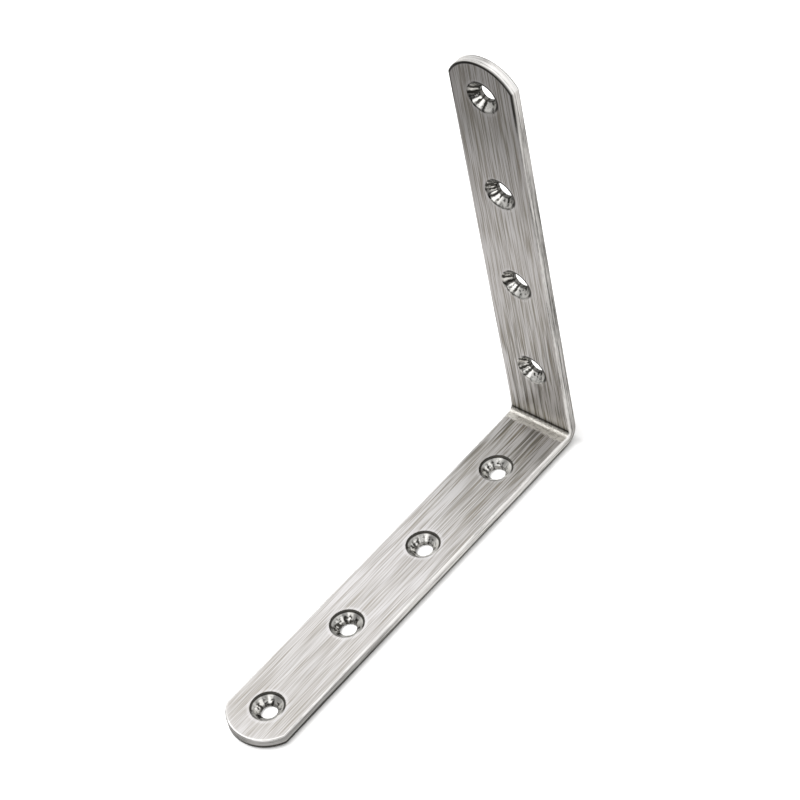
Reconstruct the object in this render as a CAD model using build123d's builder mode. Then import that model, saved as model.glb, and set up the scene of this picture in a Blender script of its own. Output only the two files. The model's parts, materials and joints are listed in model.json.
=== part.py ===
from build123d import *
import os

# Corner brace: one strip of stainless steel, bent square across its middle. Each leg has a rounded
# end and a row of screw holes, countersunk on the faces inside the angle. Millimetres, +Z up.
# The origin is the outside heel, where the planes of the two outer faces meet, midway across the
# strip. One leg lies along -Y, and the other stands along +Z.

# Strip
leg_length = 125.0  # outside heel to the tip of a leg
strip_width = 19.5
thickness = 3.0
inner_bend_radius = 1.5
end_rise = 5.9  # the arc across each end, from its corners to its crown
end_corner_radius = 1.0  # softens the corners where the arc meets the sides
edge_radius = 0.5  # tumbled edges, all round the outline of both faces

# Screw holes
holes_per_leg = 4
heel_margin = 22.4  # outside heel to the centre of the first hole
tip_margin = 10.5  # centre of the last hole to the tip
hole_diameter = 4.5
countersink_diameter = 8.5  # where its cone would reach the inner face
countersink_angle = 90.0
rim_radius = 0.85  # rounds the countersink's rim, which is then 9.2 across

# How close two lengths are when they are the same
same_length = 0.001

# Worked out from the sizes above
half_width = strip_width / 2
outer_bend_radius = inner_bend_radius + thickness
shoulder = leg_length - end_rise
hole_pitch = (leg_length - heel_margin - tip_margin) / (holes_per_leg - 1)
hole_distances = [heel_margin + i * hole_pitch for i in range(holes_per_leg)]

# Each leg's outer face: local X across the strip, local Y from the heel to the tip, and the normal
# through the thickness, towards the inside of the angle.
lying_leg = Plane(origin=(0, 0, 0), x_dir=(-1, 0, 0), z_dir=(0, 0, 1))
upright_leg = Plane(origin=(0, 0, 0), x_dir=(1, 0, 0), z_dir=(0, -1, 0))

with BuildPart() as brace:
    # The bent strip, from its section: both faces turn about one centre at the bend
    with BuildSketch(Plane.YZ):
        with BuildLine():
            outer_face = FilletPolyline(
                (-leg_length, 0), (0, 0), (0, leg_length), radius=outer_bend_radius
            )
            inner_face = FilletPolyline(
                (-leg_length, thickness),
                (-thickness, thickness),
                (-thickness, leg_length),
                radius=inner_bend_radius,
            )
            Line(outer_face @ 0, inner_face @ 0)
            Line(outer_face @ 1, inner_face @ 1)
        make_face()
    extrude(amount=half_width, both=True)

    # Each leg is trimmed to straight sides and one arc across its end
    for leg in (lying_leg, upright_leg):
        with BuildSketch(leg) as outline:
            with BuildLine():
                Polyline(
                    (half_width, shoulder),
                    (half_width, 0),
                    (-half_width, 0),
                    (-half_width, shoulder),
                )
                ThreePointArc((-half_width, shoulder), (0, leg_length), (half_width, shoulder))
            make_face()
            fillet(outline.vertices().group_by(Axis.Y)[-1], end_corner_radius)
        extrude(amount=leg_length, mode=Mode.INTERSECT)

    # The outline's edges on both faces, without the bend lines and the edges through the thickness
    bend_lines = brace.edges().filter_by(Axis.X)
    end_corners = brace.edges().filter_by(
        lambda edge: edge.geom_type == GeomType.LINE and abs(edge.length - thickness) < same_length
    )
    fillet(brace.edges() - bend_lines - end_corners, edge_radius)

    # The screw holes are drilled from the inner faces, where their countersinks are
    for leg in (lying_leg, upright_leg):
        with Locations(leg.offset(thickness)):
            with Locations(*[(0, distance) for distance in hole_distances]):
                CounterSinkHole(
                    hole_diameter / 2,
                    countersink_diameter / 2,
                    counter_sink_angle=countersink_angle,
                )

    # The rims of the countersinks are rounded over into the inner faces
    rims = brace.edges().filter_by(
        lambda edge: edge.geom_type == GeomType.CIRCLE
        and abs(edge.radius - countersink_diameter / 2) < same_length
    )
    fillet(rims, rim_radius)

os.makedirs("parts", exist_ok=True)
brace.part.label = "brace"
export_step(brace.part, "parts/brace.step")
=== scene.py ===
"""Corner brace: the finish of the brushed strip with its turned countersinks, and a plain studio round it.

Metres, +Z up. The strip is shaped flat, as a blank, and then folded. A place on the blank has three
coordinates: across the strip from its middle, along it from the middle of the fold (positive up the
upright leg), and height above the outer face. The materials read the same three.
"""

import json
import math

import bmesh
import bpy
import numpy as np
from bpy.props import FloatProperty, FloatVectorProperty, IntProperty, PointerProperty
from mathutils import Matrix, Vector


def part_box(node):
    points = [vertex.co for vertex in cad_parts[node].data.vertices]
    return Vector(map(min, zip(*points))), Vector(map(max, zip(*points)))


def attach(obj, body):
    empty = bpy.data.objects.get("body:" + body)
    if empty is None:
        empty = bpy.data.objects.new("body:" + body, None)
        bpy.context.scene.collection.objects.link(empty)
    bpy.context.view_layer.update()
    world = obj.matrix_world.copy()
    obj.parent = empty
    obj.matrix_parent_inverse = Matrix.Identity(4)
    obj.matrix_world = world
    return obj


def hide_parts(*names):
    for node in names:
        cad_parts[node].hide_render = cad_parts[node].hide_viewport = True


bl_info = {
    "name": "Corner brace",
    "version": (1, 0, 0),
    "blender": (4, 5, 0),
    "location": "View3D > Sidebar > Brace",
    "description": "A brushed steel corner brace with countersunk screw holes",
    "category": "Object",
}

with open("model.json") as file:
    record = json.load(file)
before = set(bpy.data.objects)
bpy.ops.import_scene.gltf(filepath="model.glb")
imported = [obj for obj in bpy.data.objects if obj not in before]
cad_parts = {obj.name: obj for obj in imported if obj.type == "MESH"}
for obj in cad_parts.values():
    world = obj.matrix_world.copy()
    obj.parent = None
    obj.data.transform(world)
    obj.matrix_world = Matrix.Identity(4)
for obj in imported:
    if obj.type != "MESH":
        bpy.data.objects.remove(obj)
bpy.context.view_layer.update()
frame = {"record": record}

MM = 0.001

# The numbers of the materials on the strip
BRUSHED, EDGE, TURNED = range(3)

# How the strip's grids are made
FACE_SHARES = (0.12, 0.35, 0.65, 1.0)  # rows from a hole's edge to the border of its piece of a face
EASE_STEPS = 6
STRAIGHT_STEPS = 6
EDGE_STEPS = 8
RIM_MARGIN = 0.3 * MM  # a flat ring of each face that is made with the hole
WELD_DISTANCE = 0.001 * MM
FLAT_WITHIN = 0.0001 * MM

# The cutter's chatter in a countersink is the sum of two waves round it
CHATTER_TURN = 1.9  # radians between the marks of one hole and the next
SECOND_WAVE = 0.7  # of the first wave's strength
FEWER_MARKS = 4  # in the second wave
CALM_SHARE = 0.7  # of the chatter, missing on the side towards +X and the fold

# Stretches of the faces, each a bell curve along the strip: its middle, its width and its strength. The light
# ones are painted light and the dark ones painted shade.
PAINTED_LIGHT_STRETCHES = ((-18 * MM, 7 * MM, 0.25), (10 * MM, 6 * MM, 0.35))
PAINTED_SHADE_STRETCHES = (
    (-14 * MM, 22 * MM, 0.32),
    (2.5 * MM, 2.2 * MM, 0.15),
    (38 * MM, 15 * MM, 0.09),
    (102 * MM, 8 * MM, 0.17),
)

# From the frame: the strip's reach and width, and the screw holes
low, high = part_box("brace")
leg_length = high.z - low.z
strip_width = high.x - low.x
mounts = {mount["name"]: mount for mount in frame["record"]["mounts"]}
outer_holes = mounts["upright_leg_outer_holes"]
inner_holes = mounts["upright_leg_inner_holes"]
row_middle = outer_holes["pos_m"][2]
bore_radius = outer_holes["dims"]["hole_r_mm"] * MM
hole_pitch = inner_holes["dims"]["spacing_y_mm"] * MM
row_length = outer_holes["dims"]["spacing_y_mm"] * MM
first_hole = row_middle - row_length / 2
holes_per_leg = round(row_length / hole_pitch) + 1


class BraceShape(bpy.types.PropertyGroup):
    """Sizes of the strip that the frame's box and mounts don't give."""

    thickness: FloatProperty(
        name="Thickness", description="Of the strip", default=3 * MM, unit="LENGTH"
    )
    bend_radius: FloatProperty(
        name="Bend radius", description="Inside the fold", default=1.5 * MM, unit="LENGTH"
    )
    end_rise: FloatProperty(
        name="End rise", description="From a leg's shoulders to its crown", default=5.9 * MM, unit="LENGTH"
    )
    corner_radius: FloatProperty(
        name="Corner radius", description="Where an end meets the sides", default=1 * MM, unit="LENGTH"
    )
    edge_radius: FloatProperty(
        name="Edge radius", description="Tumbled, round both faces", default=0.5 * MM, unit="LENGTH"
    )
    countersink_radius: FloatProperty(
        name="Countersink radius", description="Where its cone would reach the inner face",
        default=4.25 * MM, unit="LENGTH",
    )
    rim_radius: FloatProperty(
        name="Rim radius", description="Rounds the rim of a countersink", default=0.85 * MM, unit="LENGTH"
    )
    lip: FloatProperty(
        name="Lip", description="How far the bore's two edges are eased", default=0.12 * MM, unit="LENGTH"
    )
    chatter: FloatProperty(
        name="Chatter", description="Depth of the cutter's marks in a countersink",
        default=0.05 * MM, unit="LENGTH",
    )
    chatter_marks: IntProperty(name="Chatter marks", description="Round one countersink", default=13)
    bulge: FloatProperty(
        name="Bulge", description="How far the sides swell inside the fold", default=0.3 * MM, unit="LENGTH"
    )


class BraceFinish(bpy.types.PropertyGroup):
    """Colours of the metal and how rough each part of it is."""

    light_steel: FloatVectorProperty(
        name="Light steel", description="Bright streaks", default=(0.80, 0.785, 0.79), subtype="COLOR"
    )
    dark_steel: FloatVectorProperty(
        name="Dark steel", description="Dark streaks", default=(0.38, 0.352, 0.315), subtype="COLOR"
    )
    edge_steel: FloatVectorProperty(
        name="Edge steel", description="Tumbled edges", default=(0.95, 0.935, 0.92), subtype="COLOR"
    )
    turned_steel: FloatVectorProperty(
        name="Turned steel", description="Countersinks", default=(0.86, 0.85, 0.82), subtype="COLOR"
    )
    # Partly the press's mark and partly a painted highlight
    pressed_and_sheen_steel: FloatVectorProperty(
        name="Pressed steel", description="Bright spots of the band at the fold", default=(0.86, 0.84, 0.79),
        subtype="COLOR",
    )
    scratched_steel: FloatVectorProperty(
        name="Scratched steel", description="Dark scratches", default=(0.08, 0.07, 0.05), subtype="COLOR"
    )
    # Painted shade, mixed in where the faces are painted darker
    shaded_steel: FloatVectorProperty(
        name="Shaded steel", description="Mixed in where a face is darker", default=(0.05, 0.04, 0.0),
        subtype="COLOR",
    )
    # Painted shade: the crease and the dark lines
    line_steel: FloatVectorProperty(
        name="Line steel", description="The crease and the dark lines", default=(0.02, 0.018, 0.015),
        subtype="COLOR",
    )
    # Where the edges' lines are darkest, and their painted shade
    dark_edge: FloatVectorProperty(
        name="Dark edge", description="Dark parts of the edges", default=(0.05, 0.047, 0.04), subtype="COLOR"
    )
    # The countersinks' dark marks, partly painted reflections, their dark rims, and the painted shade of
    # their bores
    dark_cone: FloatVectorProperty(
        name="Dark cone", description="Dark marks in the countersinks", default=(0.05, 0.048, 0.043),
        subtype="COLOR",
    )
    brushed_roughness: FloatProperty(
        name="Brushed roughness", description="Of the faces", default=0.36, subtype="FACTOR"
    )
    edge_roughness: FloatProperty(
        name="Edge roughness", description="Of the tumbled edges", default=0.3, subtype="FACTOR"
    )
    turned_roughness: FloatProperty(
        name="Turned roughness", description="Of the countersinks", default=0.16, subtype="FACTOR"
    )
    brushing: FloatProperty(
        name="Brushing", description="How much wider reflections are across the strip", default=0.75,
        subtype="FACTOR",
    )


class BraceStage(bpy.types.PropertyGroup):
    """The camera's place and the light."""

    azimuth: FloatProperty(
        name="Azimuth", description="Of the camera, from -Y towards +X", default=math.radians(50.0),
        subtype="ANGLE",
    )
    elevation: FloatProperty(
        name="Elevation", description="Of the camera, above the floor", default=math.radians(44.9),
        subtype="ANGLE",
    )
    roll: FloatProperty(
        name="Roll", description="Of the camera, about its line of sight", default=math.radians(-14.0),
        subtype="ANGLE",
    )
    distance: FloatProperty(
        name="Distance", description="From the camera to the brace's middle", default=0.6488, unit="LENGTH"
    )
    aim: FloatVectorProperty(
        name="Aim", description="Where the camera looks, to the right of the brace's middle and above it",
        size=2, default=(9.56 * MM, 1.8 * MM), unit="LENGTH",
    )
    lens: FloatProperty(
        name="Lens", description="Focal length in millimetres, on a 36 mm frame", default=122.0
    )
    floor_colour: FloatVectorProperty(
        name="Floor colour", description="Plain and pale", default=(0.9, 0.9, 0.9), subtype="COLOR"
    )
    light_power: FloatProperty(
        name="Light power", description="Of the soft light overhead, in watts", default=10.0
    )


def even_angles(low_side, high_side, distance, count):
    """Places along a straight line that look evenly spaced from a point a distance away from it.

    A place is the distance times the tangent of its angle, and the angles are evenly spaced.
    """
    angles = np.linspace(math.atan(low_side / distance), math.atan(high_side / distance), count)
    return distance * np.tan(angles)


def stack(across, distance):
    """Joins two coordinates, either of which may be one number, into rows of points."""
    return np.stack(np.broadcast_arrays(across, distance), axis=-1).astype(float)


def eased(corners, easings):
    """A bent line through corners, with each inner corner eased by a parabola.

    The parabola starts and ends its easing's length from the corner, and the corner is its control
    point. The straight stretches between two parabolas are divided evenly.
    """
    corners = np.array(corners, float)
    towards = np.diff(corners, axis=0)
    towards /= np.linalg.norm(towards, axis=1)[:, None]
    share = np.linspace(0, 1, EASE_STEPS + 1)[:, None]
    curves = [
        (1 - share) ** 2 * (corner - easing * before)
        + 2 * share * (1 - share) * corner
        + share**2 * (corner + easing * after)
        for corner, before, after, easing in zip(corners[1:-1], towards[:-1], towards[1:], easings)
    ]
    between = np.linspace(0, 1, STRAIGHT_STEPS + 1)[1:-1, None]
    line = [corners[:1], curves[0]]
    for before, after in zip(curves, curves[1:]):
        line += [before[-1] + (after[0] - before[-1]) * between, after]
    return np.concatenate([*line, corners[-1:]])


class Blank:
    """The flat strip's outline and sections, worked out from the sizes."""

    side_steps = 64  # along one side of a hole's piece of a face
    cut_steps = 36  # across the strip, between two holes' pieces
    end_side_steps = 46
    corner_steps = 8
    arc_steps = 96
    fold_steps = 48

    def __init__(self, shape):
        self.shape = shape
        self.half = strip_width / 2
        self.inner_half = self.half - shape.edge_radius
        self.outer_radius = shape.bend_radius + shape.thickness
        # Along the strip, the fold is as long as its arc in the middle of the thickness
        self.fold_half = math.pi / 4 * (shape.bend_radius + shape.thickness / 2)
        self.end_radius = (self.half**2 + shape.end_rise**2) / (2 * shape.end_rise)
        self.end_centre = leg_length - self.end_radius
        # A corner's arc touches the side and the end's arc from inside
        self.corner_across = self.half - shape.corner_radius
        reach = math.sqrt((self.end_radius - shape.corner_radius) ** 2 - self.corner_across**2)
        self.corner_distance = self.end_centre + reach
        self.meeting_angle = math.atan2(reach, self.corner_across)
        self.first_cut = first_hole - hole_pitch / 2
        # A countersink's rounded rim turns by 45 degrees, and ends this far down its cone
        self.rim_ease = shape.rim_radius * math.tan(math.pi / 8)
        self.cone_top = shape.thickness - self.rim_ease * math.sin(math.pi / 4)
        self.land = shape.thickness - (shape.countersink_radius - bore_radius)
        self.cut_across = even_angles(self.inner_half, -self.inner_half, hole_pitch / 2, self.cut_steps + 1)

    def hole_distance(self, number):
        return first_hole + number * hole_pitch

    def along(self, leg, distance):
        """Turns a distance from the heel into a place along the blank; leg is 1 upright and -1 lying."""
        return leg * (self.fold_half + distance - self.outer_radius)

    def side(self, number):
        """Distances of the points on a side of one hole's piece of a face."""
        middle = self.hole_distance(number)
        is_last = number == holes_per_leg - 1
        top = self.corner_distance - middle if is_last else hole_pitch / 2
        steps = self.end_side_steps if is_last else self.side_steps
        return middle + even_angles(-hole_pitch / 2, top, self.half, steps + 1)

    def end(self, inset):
        """The end of a leg, from one side round to the other, as the way it faces turns by half a circle.

        A point is its arc's centre plus, in the direction faced, the arc's radius less the inset.
        """
        turns = [0, self.meeting_angle, math.pi - self.meeting_angle, math.pi]
        steps = [self.corner_steps, self.arc_steps, self.corner_steps]
        arcs = [np.linspace(a, b, n + 1)[1:] for a, b, n in zip(turns, turns[1:], steps)]
        facing = np.concatenate(arcs)[:-1]
        on_arc = np.abs(facing - math.pi / 2) <= math.pi / 2 - self.meeting_angle
        radius = np.where(on_arc, self.end_radius, self.shape.corner_radius) - inset
        across = np.where(on_arc, 0, np.sign(np.cos(facing)) * self.corner_across)
        distance = np.where(on_arc, self.end_centre, self.corner_distance)
        return stack(across + radius * np.cos(facing), distance + radius * np.sin(facing))

    def border(self, number):
        """Once round one hole's piece of a face: up a side, over, down the other side and back."""
        side = self.side(number)
        is_last = number == holes_per_leg - 1
        over = self.end(self.shape.edge_radius) if is_last else stack(self.cut_across, side[-1])[1:-1]
        under = stack(self.cut_across, side[0])[::-1][1:-1]
        return np.concatenate(
            [stack(self.inner_half, side), over, stack(-self.inner_half, side[::-1]), under]
        )

    def fold_stations(self):
        """Places along the blank between the first pieces of the two legs."""
        reach = self.along(1, self.first_cut)
        return np.linspace(-reach, reach, self.fold_steps + 1)

    def outline(self, inset):
        """Once round the whole blank, an inset inside its edge: up one side, over the upright leg's
        end, down the other side and round the lying leg's end."""
        leg = np.concatenate([self.side(number)[1:] for number in range(holes_per_leg)])
        upright = self.along(1, leg)
        rising = np.concatenate([-upright[::-1], self.fold_stations(), upright])
        end = self.end(inset)
        over = stack(end[:, 0], self.along(1, end[:, 1]))
        across = self.half - inset
        return np.concatenate(
            [stack(across, rising), over, stack(-across, rising[::-1]), -over]
        )

    def folded(self, blank):
        """Where points of the blank lie once it is folded, and which way their height points there.

        Past the fold a point keeps its height and moves straight along its leg. On the fold it turns
        about the fold's axis, by an angle in proportion to its place, at the outer radius less its
        height. Inside the fold the strip is squeezed, so it swells sideways with the square of the
        height, and the swelling fades along the strip as a bell curve.
        """
        across, along, height = blank.T
        turn = (np.clip(along / self.fold_half, -1, 1) + 1) * math.pi / 4
        past = np.maximum(np.abs(along) - self.fold_half, 0)
        radius = self.outer_radius - height
        bell = np.exp(-((along / (2 * self.fold_half)) ** 2)) * (height / self.shape.thickness) ** 2
        wide = across * (1 + bell * self.shape.bulge / self.half)
        y = radius * np.sin(turn) - self.outer_radius - past * (along < 0)
        z = self.outer_radius - radius * np.cos(turn) + past * (along > 0)
        up = np.stack([np.zeros_like(turn), -np.sin(turn), np.cos(turn)], axis=1)
        return np.stack([wide, y, z], axis=1), up


class Skin:
    """Collects grids of points on the blank, and makes them one closed mesh."""

    def __init__(self):
        self.blank, self.turned, self.faces, self.finishes = [], [], [], []
        self.count = 0

    def add(self, points, finish, closed=False, turned=None):
        """Adds a grid of rows by columns of points; closed joins the last column to the first.

        finish is a material's number, or one for each row of faces.
        """
        rows, columns = points.shape[:2]
        index = np.arange(rows * columns).reshape(rows, columns) + self.count
        if closed:
            index = np.concatenate([index, index[:, :1]], axis=1)
        quads = np.stack([index[:-1, :-1], index[:-1, 1:], index[1:, 1:], index[1:, :-1]], axis=-1)
        self.faces.append(quads.reshape(-1, 4))
        self.finishes.append(np.broadcast_to(np.reshape(finish, (-1, 1)), quads.shape[:2]).reshape(-1))
        self.blank.append(points.reshape(-1, 3))
        none = np.zeros((rows * columns, 3))
        self.turned.append(none if turned is None else turned.reshape(-1, 3))
        self.count += rows * columns

    def mesh(self, name, blank):
        """Folds what was added, joins the grids along their shared borders, and turns the faces outwards.

        On the two faces of the strip the shading follows the strip's own direction of height, so that
        they look flat right up to their edges.
        """
        places, _ = blank.folded(np.concatenate(self.blank))
        mesh = bpy.data.meshes.new(name)
        mesh.from_pydata(places, [], np.concatenate(self.faces))
        for attribute, values in (("blank", self.blank), ("turned", self.turned)):
            layer = mesh.attributes.new(attribute, "FLOAT_VECTOR", "POINT")
            layer.data.foreach_set("vector", np.concatenate(values).astype(np.float32).ravel())
        mesh.polygons.foreach_set("material_index", np.concatenate(self.finishes).astype(np.int32))
        mesh.shade_smooth()
        joined = bmesh.new()
        joined.from_mesh(mesh)
        bmesh.ops.remove_doubles(joined, verts=joined.verts, dist=WELD_DISTANCE)
        bmesh.ops.recalc_face_normals(joined, faces=joined.faces)
        is_open = any(len(edge.link_faces) != 2 for edge in joined.edges)
        joined.to_mesh(mesh)
        joined.free()
        if is_open:
            raise RuntimeError("the grids of the strip don't meet all round")

        normals = np.zeros(len(mesh.vertices) * 3, np.float32)
        mesh.vertex_normals.foreach_get("vector", normals)
        own = np.zeros(len(mesh.vertices) * 3, np.float32)
        mesh.attributes["blank"].data.foreach_get("vector", own)
        normals, own = normals.reshape(-1, 3), own.reshape(-1, 3).astype(float)
        _, up = blank.folded(own)
        for height, side in ((0, -1), (blank.shape.thickness, 1)):
            is_flat = np.abs(own[:, 2] - height) < FLAT_WITHIN
            normals[is_flat] = side * up[is_flat]
        mesh.normals_split_custom_set_from_vertices(normals)
        return mesh


def hole_grid(blank, leg, number):
    """One screw hole with its pieces of both faces, as rows of points round its axis.

    A row on the hole lies at a radius from the axis. A row on a face lies a share of the way from the
    hole's ring to the border of its piece. The profile runs in over the inner face, down the
    countersink and the bore, and out over the outer face. In the cone the radius grows and shrinks
    as the sum of two cosines of the angle, which the cutter's chatter leaves. That is most at two
    thirds of the cone's depth, twice as deep in the upright leg, and calmer on the side towards +X
    and the fold. Gives the rows, where each is round the axis, and the finish of each row of faces.
    """
    shape = blank.shape
    border = blank.border(number)
    centre = np.array([0, blank.hole_distance(number)])
    spokes = border - centre
    directions = spokes / np.linalg.norm(spokes, axis=1)[:, None]
    angles = np.arctan2(directions[:, 1], directions[:, 0])

    rim_ease = blank.rim_ease
    profile = eased(
        [
            (shape.countersink_radius + rim_ease + RIM_MARGIN, shape.thickness),
            (shape.countersink_radius, shape.thickness),
            (bore_radius, blank.land),
            (bore_radius, 0),
            (bore_radius + shape.lip + RIM_MARGIN, 0),
        ],
        (rim_ease, shape.lip, shape.lip),
    )
    radius, height = profile.T
    depth = np.clip((blank.cone_top - height) / (blank.cone_top - blank.land), 0, 1)
    # One at two thirds of the depth, where its square times the rest is at its most, 4/27
    marks = np.sqrt(27 / 4 * depth**2 * (1 - depth))
    hole = number + holes_per_leg * (leg > 0)
    start = CHATTER_TURN * hole
    wave = np.cos(shape.chatter_marks * angles + start)
    wave += SECOND_WAVE * np.cos((shape.chatter_marks - FEWER_MARKS) * angles - start)
    wave *= 1 - CALM_SHARE * np.clip(np.cos(angles) - np.sin(angles), 0, 1)
    chatter = shape.chatter if leg > 0 else shape.chatter / 2
    wall_radius = radius[:, None] + chatter * marks[:, None] * wave
    wall = centre + wall_radius[..., None] * directions

    shares = np.array(FACE_SHARES)[:, None, None]
    inner = wall[0] + (border - wall[0]) * shares[::-1]
    outer = wall[-1] + (border - wall[-1]) * shares
    rows = np.concatenate([inner, wall, outer])
    heights = np.concatenate([np.full(len(inner), shape.thickness), height, np.zeros(len(outer))])
    tall = np.broadcast_to(heights[:, None, None], rows[..., :1].shape)
    points = np.concatenate([rows[..., :1], blank.along(leg, rows[..., 1:]), tall], axis=-1)
    around = np.stack([np.cos(angles), np.sin(angles), np.full_like(angles, hole)], axis=-1)
    is_flat = np.abs(np.diff(heights)) < FLAT_WITHIN
    return points, np.broadcast_to(around, points.shape), np.where(is_flat, BRUSHED, TURNED)


def edge_grid(blank):
    """The outline's edge all round: its section, with a quarter circle to each face, at every point
    of the outline."""
    shape = blank.shape
    quarter = np.linspace(0, math.pi / 2, EDGE_STEPS + 1)
    inset = shape.edge_radius * (1 - np.sin(quarter))
    drop = shape.edge_radius * (1 - np.cos(quarter))
    # A row close to each round keeps the shading of the wall between them flat
    beside = shape.edge_radius * 1.3
    insets = np.concatenate([inset, [0, 0], inset[::-1]])
    heights = np.concatenate([shape.thickness - drop, [shape.thickness - beside, beside], drop[::-1]])
    rows = np.stack([blank.outline(i) for i in insets])
    return np.concatenate([rows, np.broadcast_to(heights[:, None, None], rows[..., :1].shape)], axis=-1)


def fold_grid(blank, height):
    """A face between the first pieces of the two legs: straight across, station by station."""
    along, across = np.meshgrid(blank.fold_stations(), blank.cut_across, indexing="ij")
    return np.stack([across, along, np.full_like(across, height)], axis=-1)


class Wire:
    """An output socket in a node tree. Sums on wires add the Math nodes that work them out."""

    def __init__(self, tree, socket=None):
        self.tree = tree
        self.socket = socket

    def add(self, kind, sockets=(), output=0, **settings):
        """Adds a node of a type. Its settings come first, and then its sockets' values or links."""
        node = self.tree.nodes.new(kind)
        for name, value in settings.items():
            setattr(node, name, value)
        for key, value in dict(sockets).items():
            if isinstance(value, Wire):
                self.tree.links.new(value.socket, node.inputs[key])
            else:
                node.inputs[key].default_value = value
        return Wire(self.tree, node.outputs[output]) if node.outputs else None

    def maths(self, operation, *others):
        return self.add("ShaderNodeMath", enumerate((self, *others)), operation=operation)

    def __add__(self, other):
        return self.maths("ADD", other)

    def __sub__(self, other):
        return self.maths("SUBTRACT", other)

    def __rsub__(self, other):
        return self * -1 + other

    def __mul__(self, other):
        return self.maths("MULTIPLY", other)

    def __truediv__(self, other):
        return self.maths("DIVIDE", other)

    __radd__ = __add__
    __rmul__ = __mul__

    def clamped(self):
        return self.add("ShaderNodeClamp", {"Value": self})

    def bell(self, middle, width):
        """One at the middle, and falling away to either side as a bell curve of that width."""
        offset = (self - middle) / width
        return (offset * offset * -1).maths("EXPONENT")

    def bells(self, stretches):
        """The sum of bell curves, each times its strength."""
        return sum(self.bell(middle, width) * strength for middle, width, strength in stretches)

    def fading(self, start, end):
        """One at the start and before it, none at the end and after it, and smooth between."""
        sockets = {"Value": self, "From Min": start, "From Max": end, "To Min": 1.0, "To Max": 0.0}
        return self.add("ShaderNodeMapRange", sockets, interpolation_type="SMOOTHSTEP")

    def mixed(self, low_colour, high_colour):
        """The first colour where this is none, and the second where it is one."""
        # Inputs 6 and 7 and output 2 are the node's colours
        return self.add("ShaderNodeMix", {0: self, 6: low_colour, 7: high_colour}, output=2, data_type="RGBA")

    def hypotenuse(self, other):
        """The square root of the sum of this squared and the other squared."""
        return (self * self + other * other).maths("SQRT")

    def parts(self):
        """The three numbers of a vector."""
        node = self.add("ShaderNodeSeparateXYZ", {0: self}).socket.node
        return [Wire(self.tree, output) for output in node.outputs]

    def grain(self, sizes, detail, shift):
        """Noise centred on none, with grains about as large as the three sizes. It doesn't change in a
        direction with no size. Each shift gives another pattern."""
        factors = [1 / size if size else 0.0 for size in sizes]
        scaled = self.add("ShaderNodeVectorMath", {0: self, 1: factors}, operation="MULTIPLY")
        moved = self.add("ShaderNodeVectorMath", {0: scaled, 1: (shift, shift, shift)}, operation="ADD")
        sockets = {"Vector": moved, "Scale": 1.0, "Detail": detail, "Roughness": 0.5}
        return self.add("ShaderNodeTexNoise", sockets) - 0.5

    def streaks(self, width, length, detail, shift):
        """Noise drawn out along the strip. The two faces lie in different layers of it."""
        return self.grain((width, length, MM), detail, shift)


def colour(values):
    return (*values, 1.0)


def new_material(name):
    """An empty material, and a wire in its tree to start from."""
    material = bpy.data.materials.new(name)
    material.use_nodes = True
    material.node_tree.nodes.clear()
    return material, Wire(material.node_tree)


def finish_metal(wire, base, roughness, bump, bump_depth, anisotropic=0.0):
    """Closes a metal's tree: bare metal, with its marks as a bump."""
    normal = wire.add("ShaderNodeBump", {"Height": bump, "Strength": 1.0, "Distance": bump_depth})
    metal = wire.add(
        "ShaderNodeBsdfPrincipled",
        {
            "Base Color": base,
            "Roughness": roughness,
            "Metallic": 1.0,
            "Anisotropic": anisotropic,
            "Normal": normal,
        },
    )
    wire.add("ShaderNodeOutputMaterial", {"Surface": metal})


def on_upright_leg(along):
    """One on the upright leg, none on the lying leg, and smooth over the fold."""
    return along.fading(5 * MM, -5 * MM)


def at_upper_end(along):
    """One near the upright leg's end, and none below it and on the lying leg."""
    return along.fading(112 * MM, 102 * MM)


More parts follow.
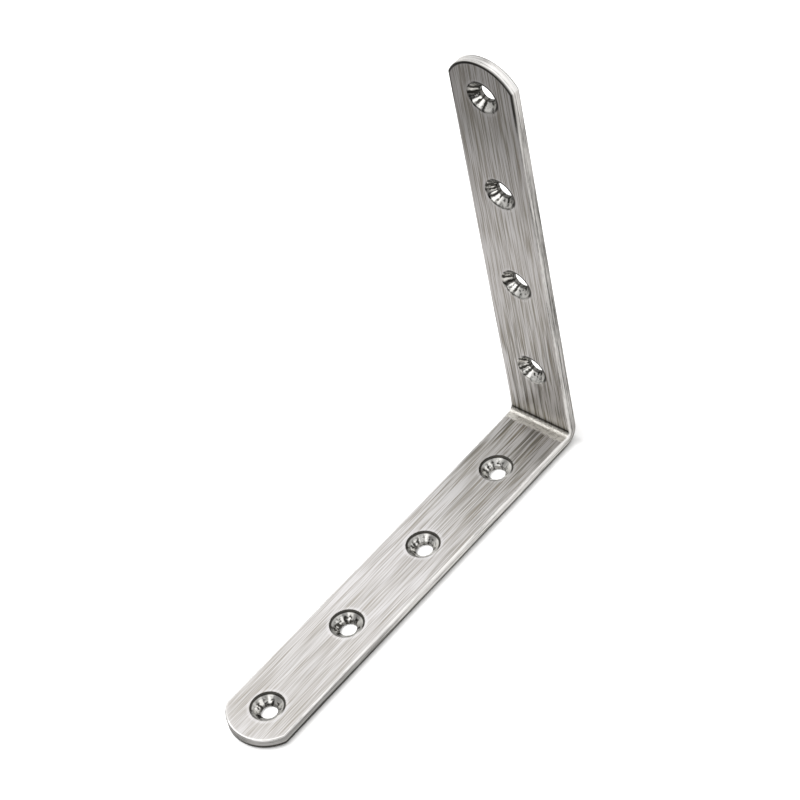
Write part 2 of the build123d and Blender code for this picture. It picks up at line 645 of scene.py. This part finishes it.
def brushed_steel(blank, finish):
    """The faces: streaks of several widths along the strip, a plainer margin with a painted highlight, a
    lighter ring round each countersink, dark lines of painted shade at the upright leg's rims and end, the
    press's marks at the fold with a painted highlight and painted shade in the crease, and stretches of
    painted light and painted shade."""
    material, wire = new_material("brushed_steel")
    place = wire.add("ShaderNodeAttribute", output="Vector", attribute_name="blank")
    across, along, height = place.parts()
    from_fold = along.maths("ABSOLUTE")
    # None on the outer face, and one on the inner face
    inside = height.fading(blank.shape.thickness, blank.shape.thickness / 2)

    hair = place.streaks(0.28 * MM, 13 * MM, detail=1.0, shift=3.1)
    line = place.streaks(0.48 * MM, 34 * MM, detail=1.0, shift=11.7)
    band = place.streaks(1.6 * MM, 90 * MM, detail=1.0, shift=23.3)
    patch = place.streaks(7 * MM, 30 * MM, detail=2.0, shift=37.9)
    scratch = place.streaks(0.55 * MM, 18 * MM, detail=0.0, shift=53.7).fading(-0.2, -0.04)
    # The brushing is coarser inside the angle towards the fold, and on the upright leg
    near_fold = along.bell(0.0, 30 * MM) * (inside * 0.8 + 0.2)
    coarse = near_fold * 2.0 + along.fading(10 * MM, -10 * MM) * 0.6 + 0.9

    # How far inside the outline: from the nearer side, or from the end's arc
    side = blank.half - across.maths("ABSOLUTE")
    beyond = (from_fold - blank.along(1, blank.end_centre)).maths("MAXIMUM", 0.0)
    nearest = side.maths("MINIMUM", blank.end_radius - across.hypotenuse(beyond))
    # A plainer margin along the outline, lighter as a painted highlight of the rounded edge
    margin = nearest.fading(0.4 * MM, 1.5 * MM)
    # A dark line inside the outline of the upright leg's end, painted shade
    end_shade_line = nearest.fading(0.55 * MM, 0.85 * MM) * at_upper_end(along) * inside

    # How far outside the cone of the nearest hole. On the upright leg a countersink's rim is painted dark, as
    # shade, on the side towards +X and away from the fold.
    offset = (from_fold - blank.along(1, first_hole)).maths("WRAP", hole_pitch / 2, -hole_pitch / 2)
    from_cone = across.hypotenuse(offset) - blank.shape.countersink_radius
    ring = from_cone.bell(0.75 * MM, 0.35 * MM) * inside
    dark_side = (across + offset).fading(3 * MM, 1 * MM) * on_upright_leg(along)
    rim_shade = from_cone.fading(0.5 * MM, 0.7 * MM) * dark_side * inside

    # The press leaves a lighter, mottled band at the foot of the fold, inside the angle, lightened further as
    # a painted highlight and darker towards the crease as painted shade. The dark line in the crease above it
    # is painted shade.
    mottle = place.grain((0.9 * MM, 0.5 * MM, MM), detail=2.0, shift=5.3)
    ragged = along + mottle * 1.5 * MM
    pressed_and_sheen = along.fading(0.4 * MM, 1.2 * MM) * (1 - ragged.fading(-4.5 * MM, -3.7 * MM)) * inside
    crease = along.bell(1.7 * MM, 0.72 * MM) * inside * 0.97
    # Painted shade over the dark stretches, and over the whole of the lying leg's end too
    shade = along.bells(PAINTED_SHADE_STRETCHES) + along.fading(-100 * MM, -78 * MM) * 0.12

    plain = 1 - margin * 0.5
    marks = (hair * 2.7 + line * 1.3 + band * 0.4) * plain * coarse + patch * 0.5
    # Painted light: the lift near the fold and the lighter stretches. The margin's lift is a painted
    # highlight of the rounded edge.
    tone = marks + margin * 0.12 + ring * 0.35 + near_fold * 0.18 + along.bells(PAINTED_LIGHT_STRETCHES) + 0.62
    base = tone.clamped().mixed(colour(finish.dark_steel), colour(finish.light_steel))
    base = (scratch * (near_fold * 0.6 + 0.1) * plain).mixed(base, colour(finish.scratched_steel))
    base = shade.mixed(base, colour(finish.shaded_steel))
    beaten_and_sheen = mottle * 3.0 + hair + 0.92 - along.fading(0.0, -2.4 * MM) * 0.35
    beaten_and_sheen = beaten_and_sheen.clamped().mixed(colour(finish.dark_steel), colour(finish.pressed_and_sheen_steel))
    base = pressed_and_sheen.mixed(base, beaten_and_sheen)
    # Painted shade: the crease, the dark line at the upright leg's end and the dark rims
    lines = crease.maths("MAXIMUM", end_shade_line * 0.9).maths("MAXIMUM", rim_shade * 0.8)
    base = lines.mixed(base, colour(finish.line_steel))
    roughness = (hair * 0.25 + line * 0.15 + pressed_and_sheen * 0.1 + finish.brushed_roughness).clamped()
    bump = (hair + line * 0.6) * plain + pressed_and_sheen * mottle * 2.0
    finish_metal(wire, base, roughness, bump, 0.006 * MM, finish.brushing)
    return material


def tumbled_edge(blank, finish):
    """The edges: bright, with lines that run round the outline. Painted shade darkens the steel where the
    outer face begins, less so up the upright leg, and where the inner face begins at that leg's end. Painted
    shade also makes it darker away from the inner face, and darker all over on the upright leg's sides."""
    material, wire = new_material("tumbled_edge")
    place = wire.add("ShaderNodeAttribute", output="Vector", attribute_name="blank")
    _, along, height = place.parts()
    from_inner_face = blank.shape.thickness - height
    lines = place.grain((8 * MM, 16 * MM, 0.4 * MM), detail=2.0, shift=7.7)
    specks = place.grain((1.2 * MM, 2 * MM, 0.3 * MM), detail=1.0, shift=19.1)
    upright, end = on_upright_leg(along), at_upper_end(along)
    # Painted shade: the lying leg's edge is dark along its foot by the floor, the upright leg's fainter where
    # its outer face begins, and dark where the inner face begins at that leg's end
    lying_foot_shadow = height.fading(0.85 * MM, 1.25 * MM) * (1 - upright)
    upright_foot_shade = height.fading(0.3 * MM, 0.7 * MM) * upright * 0.5
    edge_end_shade = from_inner_face.fading(0.1 * MM, 0.6 * MM) * end
    dark = lying_foot_shadow.maths("MAXIMUM", upright_foot_shade).maths("MAXIMUM", edge_end_shade) * 0.92
    # The upright leg's sides, up to the arc of its end
    sides = upright * along.fading(116 * MM, 117.5 * MM)
    # Painted shade: darker away from the inner face, and all over on the upright leg's sides
    away = from_inner_face.fading(0.8 * MM, 0.4 * MM)
    dull = away * (sides * 0.1 + 0.2) * (1 - end) + sides * 0.22
    tone = (lines * 2.0 + specks * 0.5 + 0.95 - dull).clamped() * (1 - dark)
    base = tone.mixed(colour(finish.dark_edge), colour(finish.edge_steel))
    roughness = (lines * 0.3 + finish.edge_roughness).clamped()
    finish_metal(wire, base, roughness, specks + lines, 0.004 * MM)
    return material


def turned_steel(blank, finish):
    """The countersinks: fine rings that the cutter leaves, light and dark marks where it chattered, partly
    painted reflections, strongest towards the foot of the cone, a dark rounded rim, darker on one side as
    painted shade, and a bore darkened as painted shade."""
    material, wire = new_material("turned_steel")
    place = wire.add("ShaderNodeAttribute", output="Vector", attribute_name="blank")
    around = wire.add("ShaderNodeAttribute", output="Vector", attribute_name="turned")
    _, _, height = place.parts()
    cosine, sine, hole = around.parts()
    # Positive towards +X and the fold, where a cone is calmer, duller, and lighter as painted light
    foldward = cosine - sine
    # The same two waves as in the shape of the cone
    turn, start = sine.maths("ARCTAN2", cosine), hole * CHATTER_TURN
    chatter = (turn * blank.shape.chatter_marks + start).maths("COSINE")
    second = (turn * (blank.shape.chatter_marks - FEWER_MARKS) - start).maths("COSINE")
    chatter = (chatter + second * SECOND_WAVE) * (1 - foldward.fading(1.0, 0.0) * CALM_SHARE)

    rings = place.grain((0, 0, 0.12 * MM), detail=1.0, shift=2.9)
    spokes = around.grain((1 / 2.2, 1 / 2.2, 1 / 5), detail=2.0, shift=13.1)
    blots = place.grain((0.8 * MM, 0.8 * MM, 0.8 * MM), detail=1.0, shift=29.3)
    # The upright leg's holes have the higher numbers, and their marks are clearer
    upright = hole.maths("GREATER_THAN", holes_per_leg - 0.5)
    lying = 1 - upright
    deep = height.fading(blank.land + 0.5 * MM, blank.cone_top - 0.2 * MM)
    # The marks' light and dark are partly painted reflections of the chattered facets, and the lying leg's
    # cones are painted darker deep down as shade
    marks = spokes * 2.5 + blots * 2.6 + chatter * (upright * 0.4 + 0.15)
    tone = rings * 0.6 + marks * (deep * 1.9 + 0.2 + upright * 0.7) + foldward * 0.22 - upright * 0.1 + 0.74
    tone = (tone - deep * lying * 0.12).clamped()

    # On the lying leg the dark rim is thicker towards -X and the fold, and fades on the opposite side. On the
    # upright leg it is dark on that opposite side only. These changes round the hole are painted shade.
    outward = cosine * 0.57 + sine * 0.82
    thicker = lying * outward.fading(-0.9, -0.2) * 0.14 * MM
    rim = (height + thicker).fading(blank.shape.thickness - 0.16 * MM, blank.shape.thickness - 0.3 * MM)
    rim = rim * (1 - lying * outward.fading(0.8, 0.2) * 0.9)
    rim = rim * (1 - upright * (cosine + sine).fading(-0.3, 0.6) * 0.9)
    # Painted shade in the bore, darker in the upright leg's holes
    bore = height.fading(blank.land + 0.1 * MM, blank.land + 0.3 * MM) * (upright * 0.25 + 0.6)
    undarkened = 1 - rim.maths("MAXIMUM", bore)
    base = (tone * undarkened).mixed(colour(finish.dark_cone), colour(finish.turned_steel))
    dull = foldward.fading(1.2, 0.2) * (upright * 0.15 + 0.2)
    roughness = (spokes * 0.2 + dull + finish.turned_roughness).clamped()
    finish_metal(wire, base, roughness, rings + blots, 0.006 * MM)
    return material


def studio_world(scene):
    """Soft light from all round, worked out from its direction.

    It fades gently from the left to the right, with a brighter patch high on the left. Behind on the
    left it is dimmer, and so is the opening in the tent that the camera looks through. In front on
    the left it is dark.
    """
    world = bpy.data.worlds.new("studio")
    scene.world = world
    world.use_nodes = True
    world.node_tree.nodes.clear()
    wire = Wire(world.node_tree)
    towards = wire.add("ShaderNodeTexCoord", output="Generated")

    def along(axis):
        """The cosine of the angle between the direction and an axis."""
        sockets = {0: towards, 1: Vector(axis).normalized()}
        return wire.add("ShaderNodeVectorMath", sockets, output="Value", operation="DOT_PRODUCT")

    slope = along((0.6, 0.3, 0.3)) * -0.3 + 1.3
    overhead = along((-0.5, 0.0, 0.86)).fading(0.98, 0.86)
    behind = along((0, 1, 0)).fading(0.55, 0.38) * along((-1, 0, 0)).fading(0.45, 0.1)
    front = along((-0.55, -0.8, 0.1)).fading(0.93, 0.70)
    opening = along((0.54, -0.455, 0.707)).fading(0.975, 0.93)
    strength = (slope + overhead * 0.25) * (1 - behind * 0.6) * (1 - front * 0.95) * (1 - opening * 0.5)
    sky = wire.add("ShaderNodeBackground", {"Color": (1.0, 0.997, 0.99, 1.0), "Strength": strength})
    wire.add("ShaderNodeOutputWorld", {"Surface": sky})


def stage_plane(scene, name, level):
    """A broad flat square at a height, and a wire in its own empty material."""
    mesh = bpy.data.meshes.new(name)
    reach = 3.0
    corners = [(-reach, -reach, level), (reach, -reach, level), (reach, reach, level), (-reach, reach, level)]
    mesh.from_pydata(corners, [], [(0, 1, 2, 3)])
    material, wire = new_material(name)
    mesh.materials.append(material)
    plane = bpy.data.objects.new(name, mesh)
    scene.collection.objects.link(plane)
    return plane, wire


def pale_floor(scene, stage):
    """A broad flat floor just under the brace, plain, with only its shadow on it."""
    floor, wire = stage_plane(scene, "pale_floor", low.z - 0.05 * MM)
    paint = wire.add(
        "ShaderNodeBsdfPrincipled",
        {"Base Color": colour(stage.floor_colour), "Roughness": 1.0, "Specular IOR Level": 0.0},
    )
    wire.add("ShaderNodeOutputMaterial", {"Surface": paint})
    floor.visible_glossy = False


def reflected_floor(scene):
    """What the metal mirrors in place of the floor: pale by the brace and behind it, darker in front,
    less so in line with the brace, and dark past that, where the floor of a light tent ends."""
    floor, wire = stage_plane(scene, "reflected_floor", low.z - 0.1 * MM)
    place = wire.add("ShaderNodeTexCoord", output="Object")
    across, along, _ = place.parts()
    in_line = across.bell(0.0, 20 * MM)
    front = along.fading(-100 * MM, -60 * MM) * (1 - in_line * 0.22)
    past = along.fading(-210 * MM, -130 * MM)
    level = (1 - front * 0.63) * (1 - past * 0.9)
    glow = wire.add(
        "ShaderNodeBsdfPrincipled",
        {
            "Base Color": (0.0, 0.0, 0.0, 1.0),
            "Specular IOR Level": 0.0,
            "Emission Color": level.mixed((0.0, 0.0, 0.0, 1.0), (1.0, 0.985, 0.96, 1.0)),
            "Emission Strength": 0.82,
        },
    )
    wire.add("ShaderNodeOutputMaterial", {"Surface": glow})
    floor.visible_camera = floor.visible_diffuse = floor.visible_shadow = False


def soft_light(scene, stage):
    """One large soft light, high over the brace and a little to its left, for the floor's soft shadow."""
    data = bpy.data.lights.new("softbox", "AREA")
    data.shape = "DISK"
    data.size = 0.8
    data.energy = stage.light_power
    light = bpy.data.objects.new("softbox", data)
    middle = (low + high) / 2
    light.location = middle + Vector((-0.45, -0.1, 0.9))
    light.rotation_euler = (middle - light.location).to_track_quat("-Z", "Y").to_euler()
    light.visible_glossy = False
    scene.collection.objects.link(light)


def photo_camera(scene, stage):
    """The camera stands off from the brace's middle at its azimuth and elevation, and is rolled.

    Then it turns a little, to look at its aim, which centres the brace in the picture.
    """
    cosine, sine = math.cos(stage.elevation), math.sin(stage.elevation)
    back = Vector((math.sin(stage.azimuth) * cosine, -math.cos(stage.azimuth) * cosine, sine))
    right = Vector((math.cos(stage.azimuth), math.sin(stage.azimuth), 0))
    rolled = Matrix.Rotation(stage.roll, 3, back)
    right, up = rolled @ right, rolled @ back.cross(right)
    offset = back * stage.distance
    to_aim = right * stage.aim[0] + up * stage.aim[1] - offset
    turn = (-back).rotation_difference(to_aim).to_matrix() @ Matrix((right, up, back)).transposed()
    data = bpy.data.cameras.new("camera")
    data.lens = stage.lens
    data.clip_start, data.clip_end = 0.01, 20.0
    camera = bpy.data.objects.new("camera", data)
    camera.matrix_world = Matrix.Translation((low + high) / 2 + offset) @ turn.to_4x4()
    scene.collection.objects.link(camera)
    scene.camera = camera


class BRACE_OT_strip(bpy.types.Operator):
    """Makes the folded strip with its screw holes and its three finishes"""

    bl_idname = "brace.strip"
    bl_label = "Strip"

    def execute(self, context):
        blank = Blank(context.scene.brace_shape)
        skin = Skin()
        for leg in (-1, 1):
            for number in range(holes_per_leg):
                points, around, finish = hole_grid(blank, leg, number)
                skin.add(points, finish, closed=True, turned=around)
        skin.add(edge_grid(blank), EDGE, closed=True)
        for height in (0, blank.shape.thickness):
            skin.add(fold_grid(blank, height), BRUSHED)
        mesh = skin.mesh("brace_strip", blank)
        for make in (brushed_steel, tumbled_edge, turned_steel):
            mesh.materials.append(make(blank, context.scene.brace_finish))
        # The shader takes its direction across the streaks from this space. With the space's middle
        # this far off along Y, that direction is X all over the strip.
        mesh.use_auto_texspace = False
        mesh.texspace_location = (0, 1000, 0)
        mesh.texspace_size = (1, 1, 1)
        strip = bpy.data.objects.new("brace_strip", mesh)
        context.scene.collection.objects.link(strip)
        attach(strip, "root")
        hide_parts("brace")
        return {"FINISHED"}


class BRACE_OT_stage(bpy.types.Operator):
    """Makes the floor, the light and the camera"""

    bl_idname = "brace.stage"
    bl_label = "Stage"

    def execute(self, context):
        scene = context.scene
        scene.view_settings.view_transform = "Standard"
        studio_world(scene)
        pale_floor(scene, scene.brace_stage)
        reflected_floor(scene)
        soft_light(scene, scene.brace_stage)
        photo_camera(scene, scene.brace_stage)
        return {"FINISHED"}


class BRACE_PT_panel(bpy.types.Panel):
    """Lists the sizes, the finishes and the stage, with the operators that make them"""

    bl_idname = "BRACE_PT_panel"
    bl_label = "Corner brace"
    bl_space_type = "VIEW_3D"
    bl_region_type = "UI"
    bl_category = "Brace"

    def draw(self, context):
        scene = context.scene
        for group in (scene.brace_shape, scene.brace_finish, scene.brace_stage):
            box = self.layout.box()
            for name in group.__annotations__:
                box.prop(group, name)
        self.layout.operator("brace.strip")
        self.layout.operator("brace.stage")


classes = (BraceShape, BraceFinish, BraceStage, BRACE_OT_strip, BRACE_OT_stage, BRACE_PT_panel)
groups = {"brace_shape": BraceShape, "brace_finish": BraceFinish, "brace_stage": BraceStage}


def register():
    for each in classes:
        bpy.utils.register_class(each)
    for name, group in groups.items():
        setattr(bpy.types.Scene, name, PointerProperty(type=group))


def unregister():
    for name in groups:
        delattr(bpy.types.Scene, name)
    for each in reversed(classes):
        bpy.utils.unregister_class(each)


def main():
    register()
    bpy.ops.brace.strip()
    bpy.ops.brace.stage()


if __name__ == "__main__":
    main()
